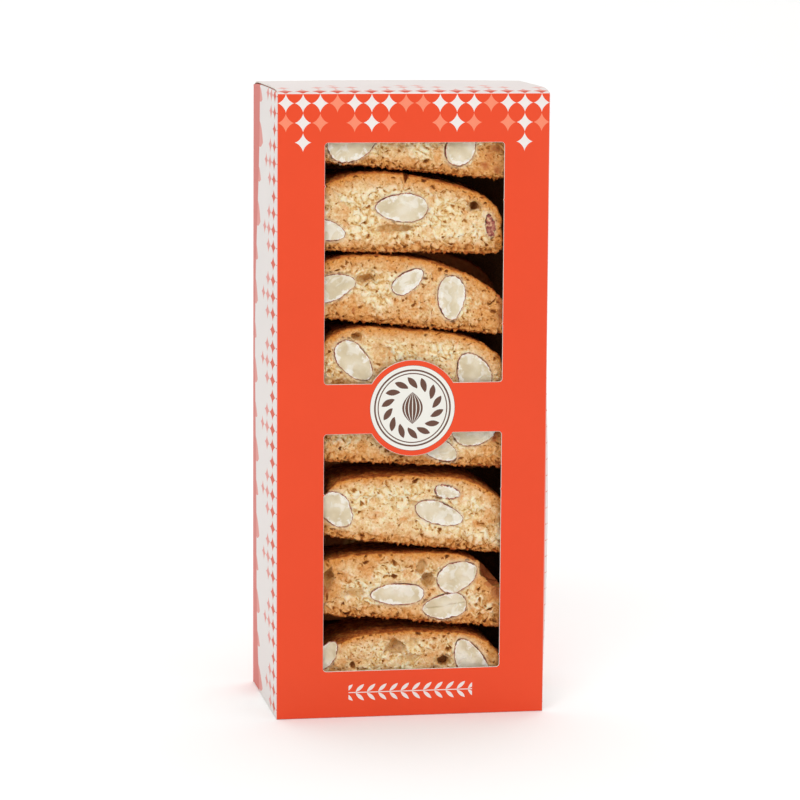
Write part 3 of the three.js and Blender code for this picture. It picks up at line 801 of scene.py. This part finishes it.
def biscuitCrumb():
    # Twice-baked almond dough: a dry matt crumb, cream between its open bubbles, with painted
    # shade inside them and in its creases, and golden to brown towards the crust
    material, add, shader = newMaterial("bakedBiscottiCrumb")
    spot = add("TexCoord").outputs["Object"]
    fromDome, fromBase, fromAlmond, pore, hollow, bake = [
        add("Attribute", attribute_name=name).outputs["Fac"] for name in biscotti["traits"]]
    flecks = add("TexNoise", spot, Scale=1 / 0.0008, Detail=4.0, Roughness=0.7)
    ragged = add("TexNoise", spot, Scale=1 / 0.0022, Detail=4.0, Roughness=0.65)
    # pinholes about 1.4 mm apart in some of the cells, too fine for the mesh, with painted shade in them
    drift = add("VectorMath MULTIPLY_ADD", flecks.outputs["Color"], (0.0006, 0.0006, 0.0006), spot)
    holes = add("TexVoronoi", drift, Scale=1 / 0.0014, Randomness=1.0)
    holeDepth = add("MapRange", holes, 0.10, 0.28, 0.52, 0.0)
    chosen = add("Math GREATER_THAN", holes.outputs["Color"], 0.6)
    pinholes = add("Math MULTIPLY", holeDepth, chosen)
    # one painted shade for the colour: that of the mesh's own pits and creases and of the pinholes, with
    # fine flecks, lighter where the bump raises them
    fine = add("MapRange", flecks, 0.32, 0.68, 0.19, -0.19)
    depth = add("Math ADD", add("Math ADD", pore, pinholes), fine)
    share = add("Math MULTIPLY_ADD", depth, 0.8, 0.2)
    # along each ramp the colour darkens with the painted shade
    places = (0.0, 0.22, 0.38, 0.55, 0.75, 0.95)
    cream, toasted = [add("ValToRGB", share, stops=list(zip(places, codes))) for codes in (
        ("#fbedcd", "#f2d8a8", "#e2b878", "#c88c4a", "#a4672d", "#83491c"),
        ("#eaaa60", "#d98f3f", "#c3752a", "#a05d20", "#804417", "#663310"))]
    # toasted in patches, and in an uneven band below the dome and above the base
    mottled = add("Math ADD", bake, add("Math MULTIPLY_ADD", ragged, 3.0, -1.5))
    toast = add("MapRange", mottled, 0.0, 1.0, 0.0, 0.85)
    uneven = add("MapRange", ragged, 0.28, 0.72, -1.5, 1.5)
    for gap, start, end, most in ((fromDome, 0.4, 7.4, 1.0), (fromBase, 1.4, 6.6, 0.87)):
        band = add("MapRange SMOOTHSTEP", add("Math ADD", gap, uneven), start, end, most, 0.0)
        toast = add("Math MAXIMUM", toast, band)
    # dough pressed pale against the nuts
    nearNut = add("MapRange SMOOTHSTEP", fromAlmond, 0.3, 2.0, 0.45, 0.0)
    # smooth hollows left by large bubbles, with painted shade that makes them browner as they get deeper
    hollowDepth = add("Math ADD", hollow, add("Math MULTIPLY_ADD", ragged, 0.8, -0.4))
    hollowShare = add("MapRange", hollowDepth, 0.05, 0.8, 0.0, 0.85)
    skin = add("ValToRGB", hollowDepth, stops=[
        (0.05, "#ebca90"), (0.4, "#d8aa66"), (0.7, "#bf8843"), (1.0, "#8f4f1a")])
    # crust
    crustMask = add("MapRange SMOOTHSTEP", add("Math MINIMUM", fromDome, fromBase), 0.1, 1.1, 1.0, 0.0)
    crust = add("ValToRGB", ragged, stops=[(0.3, "#85380f"), (0.5, "#b35c1f"), (0.7, "#d98f42")])
    # painted shade: the slices behind, and the far ends of deep hollows, take a dark crust brown
    behind = add("MapRange", bake, 1.25, 1.6, 0.0, 0.8)
    body = cream
    for mask, over in ((toast, toasted), (nearNut, "#ead9b8"), (hollowShare, skin), (crustMask, crust),
                       (behind, "#b86030")):
        body = add("Mix RGBA", mask, body, over)
    relief = add("Math MULTIPLY_ADD", pinholes, -0.8, flecks)
    bump = add("Bump", Strength=0.7, Distance=0.0005, Height=relief)
    fillSockets(shader, {
        "Base Color": body, "Normal": bump, "Roughness": 0.85, "Specular IOR Level": 0.25,
        "Subsurface Weight": 0.3, "Subsurface Radius": (0.0012, 0.0007, 0.0003), "Subsurface Scale": 1.0})
    return material


def buildSlice(nodeName, pieceName, number, finish):
    # The front slices have a fine mesh and all the relief. Those behind, seen only through gaps,
    # are plainer.
    fine = nodeName.startswith("slice_")
    piece = copyNode(nodeName, pieceName)
    measures = measureCad(piece)
    cutY = measures[2].y
    applyModifier(piece, "REMESH", mode="VOXEL", voxel_size=biscotti["voxel" if fine else "rearVoxel"],
                  use_smooth_shade=True)
    almondTree = None
    if fine:
        setMode("EDIT")
        pick(piece, "VERT", lambda vertex: vertex.co.y > cutY + biscotti["fineDepth"])
        bpy.ops.mesh.decimate(ratio=0.1)
        setMode("OBJECT")
        points, faces = [], []
        for name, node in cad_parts.items():
            if name.startswith(f"almond_{number}_"):
                start = len(points)
                points.extend(vertex.co.copy() for vertex in node.data.vertices)
                faces.extend(tuple(start + i for i in polygon.vertices) for polygon in node.data.polygons)
        almondTree = BVHTree.FromPolygons(points, faces)
        # evens out the steps of the remesh, but not the rims of the almonds' pockets
        awayFromNuts = piece.vertex_groups.new(name="awayFromNuts")
        for vertex in piece.data.vertices:
            if vertex.co.y > cutY + 0.006 or almondTree.find_nearest(vertex.co)[3] > 0.0012:
                awayFromNuts.add([vertex.index], 1.0, "REPLACE")
        applyModifier(piece, "SMOOTH", factor=0.5, iterations=8, vertex_group=awayFromNuts.name)
        piece.vertex_groups.clear()
    else:
        applyModifier(piece, "SMOOTH", factor=0.5, iterations=3)
    shapeSlice(piece, measures, almondTree, number, fine)
    piece.data.materials.append(finish)
    finishPiece(piece, "biscuit", nodeName)
    print(piece.name, len(piece.data.polygons), "faces")


nutCut = {
    "grow": 0.00052,  # fills the pocket, so the skin touches the dough
    "flakeGrow": 0.0003,
    "edge": 0.00004,
    "skin": 0.00022,  # breadth of the skin's line
    # breadth and depth of the rings of the cut face
    "insets": [(0.00012, -0.00006), (0.0007, 0), (0.0009, 0)],
    "waver": 0.0005,  # slow unevenness of the outline
    "ripple": 0.0003,  # quick unevenness of the outline
    "faceWaver": 0.0007, "faceRipple": 0.0002,  # the same of the cut face
    "opened": "almond_7_3",  # its two halves have come apart
    "seamDeep": 0.0004, "seamStep": 0.00025,
    "flake": "almond_2_3",  # only a shard of skin shows
    "broken": {"almond_2_3": 4.0, "almond_6_3": 3.0},  # how much rougher the outlines of crushed pieces are
}


def almondSkin():
    # Brown papery seed coat, seen on edge as a thin red-brown line that breaks off in places
    material, add, shader = newMaterial("almondSeedCoat")
    spot = add("TexCoord").outputs["Object"]
    streaks = add("TexNoise", spot, Scale=1 / 0.0013, Detail=3.0)
    colour = add("ValToRGB", streaks, stops=[
        (0.36, "#7a3028"), (0.48, "#a05445"), (0.57, "#bf8669"), (0.66, "#dfba8c")])
    bump = add("Bump", Strength=0.5, Distance=0.0001, Height=streaks)
    fillSockets(shader, {"Base Color": colour, "Normal": bump, "Roughness": 0.7})
    return material


def almondKernel():
    # Knife-cut kernel: dense, waxy and ivory, smooth in the middle and chalky along its rim
    material, add, shader = newMaterial("almondKernelCut")
    spot = add("TexCoord").outputs["Object"]
    rim = add("Attribute", attribute_name="fromRim").outputs["Fac"]
    patches = add("TexNoise", spot, Scale=1 / 0.007, Detail=2.0, Roughness=0.4)
    ivory = add("ValToRGB", patches, stops=[
        (0.36, "#d1c09f"), (0.46, "#d8c9aa"), (0.54, "#dfd1b5"), (0.66, "#e6dbc5")])
    scrapes = add("TexNoise", spot, Scale=1 / 0.0032, Detail=4.0, Roughness=0.6)
    rimGap = add("Math ADD", rim, add("Math MULTIPLY_ADD", scrapes, -14.0, 7.6))
    chalk = add("MapRange SMOOTHSTEP", rimGap, 0.1, 1.6, 0.75, 0.0)
    chalky = add("Mix RGBA", chalk, ivory, "#f4f0e8")
    # shallow chips that the knife has lifted, whiter than the face around them
    chips = add("TexNoise", spot, Scale=1 / 0.0046, Detail=3.0, Roughness=0.5, Distortion=0.9)
    chipped = add("MapRange", chips, 0.53, 0.62, 0.0, 0.55)
    colour = add("Mix RGBA", chipped, chalky, "#f1ece1")
    fine = add("TexNoise", spot, Scale=1 / 0.0007, Detail=2.0)
    rough = add("Math MULTIPLY_ADD", fine, 0.16, scrapes)
    height = add("Math MULTIPLY_ADD", chipped, 0.5, rough)
    bump = add("Bump", Strength=0.6, Distance=0.0007, Height=height)
    fillSockets(shader, {
        "Base Color": colour, "Normal": bump, "Roughness": 0.5, "Specular IOR Level": 0.3,
        "Subsurface Weight": 0.12, "Subsurface Radius": (0.0015, 0.0011, 0.0007), "Subsurface Scale": 1.0})
    return material


def buildAlmond(nodeName, pieceName, seed, skinFinish, kernelFinish):
    flake = nodeName == nutCut["flake"]
    piece = copyNode(nodeName, pieceName)
    setMode("EDIT")
    selectAll()
    bpy.ops.transform.shrink_fatten(value=nutCut["flakeGrow" if flake else "grow"])
    pick(piece, "FACE", lambda face: face.normal.y < -0.93)
    bpy.ops.mesh.dissolve_faces()
    # rings of the cut face: a sharp edge, the skin, then the kernel
    pick(piece, "FACE", lambda face: face.normal.y < -0.93)
    bpy.ops.mesh.inset(thickness=nutCut["edge"])
    bpy.ops.mesh.inset(thickness=nutCut["skin"])
    piece.data.materials.append(skinFinish)
    piece.data.materials.append(kernelFinish)
    if not flake:
        piece.active_material_index = 1
        bpy.ops.object.material_slot_assign()
    for thickness, depth in nutCut["insets"]:
        bpy.ops.mesh.inset(thickness=thickness, depth=depth)
    setMode("OBJECT")
    applyModifier(piece, "SUBSURF", levels=3, render_levels=3)
    mesh = piece.data
    shift = Vector((seed * 5.3, seed * 2.9, seed * 7.1))
    skinFaces = [tuple(face.vertices) for face in mesh.polygons if face.material_index == 0]
    skinTree = BVHTree.FromPolygons([vertex.co.copy() for vertex in mesh.vertices], skinFaces)
    centre = sum((vertex.co for vertex in mesh.vertices), Vector()) / len(mesh.vertices)
    front = min(vertex.co.y for vertex in mesh.vertices)
    rimGaps = [skinTree.find_nearest(vertex.co)[3] * 1000 for vertex in mesh.vertices]
    ripple = nutCut["ripple"] * nutCut["broken"].get(nodeName, 1.0)
    for vertex, rimGap in zip(mesh.vertices, rimGaps):
        place = vertex.co * 1000 + shift
        outward = vertex.co - centre
        outward.y = 0
        outward.normalize()
        inner = ease(rimGap, 0.1, 0.8)
        if nodeName == nutCut["opened"] and vertex.co.y < front + 0.002:
            # a leaning crack, with the lower half a little further back
            seam = ((vertex.co.z - centre.z) * 1000 - 0.35 - 0.13 * (vertex.co.x - centre.x) * 1000
                    - 0.2 * noise.noise(place * 0.6))
            vertex.co.y += inner * (nutCut["seamDeep"] * (1 - ease(abs(seam), 0.05, 0.45))
                                    + nutCut["seamStep"] * (1 - ease(seam, -0.2, 0.2)))
        vertex.co += outward * (nutCut["waver"] * noise.noise(place * 0.25)
                                + ripple * noise.noise(place * 1.3))
        vertex.co.y += inner * (nutCut["faceWaver"] * noise.noise(place * 0.2)
                                + nutCut["faceRipple"] * noise.noise(place * 0.7))
    mesh.attributes.new("fromRim", "FLOAT", "POINT").data.foreach_set("value", rimGaps)
    bpy.ops.object.shade_smooth()
    finishPiece(piece, "almond", nodeName)


buildCarton()
crumbFinish = biscuitCrumb()
for number in range(1, 9):
    buildSlice(f"slice_{number}", f"biscottiSlice.{number}", number, crumbFinish)
for number in range(1, 9):
    buildSlice(f"rear_slice_{number}", f"rearSlice.{number}", 20 + number, crumbFinish)
print("slices done")
skinFinish, kernelFinish = almondSkin(), almondKernel()
almondNames = sorted(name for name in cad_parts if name.startswith("almond_"))
for order, nodeName in enumerate(almondNames):
    buildAlmond(nodeName, "cutAlmond." + nodeName[7:].replace("_", "."), order + 1, skinFinish, kernelFinish)
print("almonds done")


studio = {
    "floor": "#fbfbfa",
    "floorSize": (6, 2.4), "floorShift": -0.4,
    "sweepRadius": 0.5, "sweepSteps": 8, "backHeight": 2.5,
    "worldStrength": 0.55,
    "aim": (0, 0, 0.11),  # the middle of the carton
    "lights": [  # name, place, size and power
        ("keyLight", (-0.55, -1.25, 1.35), 0.9, 10.0),  # large soft box, high in front on the left
        ("fillLight", (0.9, -1.2, 0.6), 1.0, 2.8),
        ("topLight", (0.1, 0.5, 1.7), 1.8, 14.0),  # lights the floor and the backdrop
    ],
    "cameraPlace": (-0.21256, -1.21999, 0.28419),
    "cameraTurn": (-0.17330, 0.14171, 0.00670),  # azimuth, elevation and roll in radians
    "lens": 158.375,
}


def buildStudio():
    floor = addShape(bpy.ops.mesh.primitive_plane_add, size=1)
    floor.name = floor.data.name = "studioFloor"
    # a sweep: the floor runs back and turns up into the backdrop
    setMode("EDIT")
    selectAll()
    scaleBy(*studio["floorSize"], 1)
    bpy.ops.transform.translate(value=(0, studio["floorShift"], 0))
    pick(floor, "EDGE", lambda edge: middle(edge).y > 0.7)
    radius, last = studio["sweepRadius"], 0.0
    for step in range(1, studio["sweepSteps"] + 1):
        angle = math.pi / 2 * step / studio["sweepSteps"]
        extrude(0, radius * (math.sin(angle) - math.sin(last)), radius * (math.cos(last) - math.cos(angle)))
        last = angle
    extrude(0, 0, studio["backHeight"])
    selectAll()
    bpy.ops.mesh.normals_make_consistent(inside=False)
    setMode("OBJECT")
    bpy.ops.object.shade_smooth()
    # Matt white card, which shows only soft shadows
    material, _, shader = newMaterial("mattWhiteStudioCard")
    fillSockets(shader, {"Base Color": studio["floor"], "Roughness": 0.9, "Specular IOR Level": 0.1})
    floor.data.materials.append(material)
    floor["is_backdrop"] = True
    scene.world = bpy.data.worlds.new("studioWorld")
    scene.world.use_nodes = True
    fillSockets(scene.world.node_tree.nodes["Background"],
                {"Color": (1, 1, 1, 1), "Strength": studio["worldStrength"]})
    for name, place, size, power in studio["lights"]:
        light = bpy.data.lights.new(name, "AREA")
        light.energy, light.size = power, size
        lamp = addObject(name, light)
        lamp.location = place
        lamp.rotation_euler = (Vector(studio["aim"]) - Vector(place)).to_track_quat("-Z", "Y").to_euler()


def buildCamera():
    azimuth, elevation, roll = studio["cameraTurn"]
    camera = bpy.data.cameras.new("camera")
    camera.lens = studio["lens"]
    camera.sensor_width = 36
    camera.clip_start, camera.clip_end = 0.05, 30
    holder = addObject("camera", camera)
    holder.matrix_world = (
        Matrix.Translation(studio["cameraPlace"]) @ Matrix.Rotation(azimuth, 4, "Z")
        @ Matrix.Rotation(math.pi / 2 - elevation, 4, "X") @ Matrix.Rotation(roll, 4, "Z"))
    scene.camera = holder


buildStudio()
buildCamera()
scene.view_settings.view_transform = "Standard"
bpy.context.view_layer.update()
low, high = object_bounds()
for name, box in (("cad", (cadLow, cadHigh)), ("visual", (low, high))):
    print(name, "box in mm:", [round(value * 1000, 1) for corner in box for value in corner])
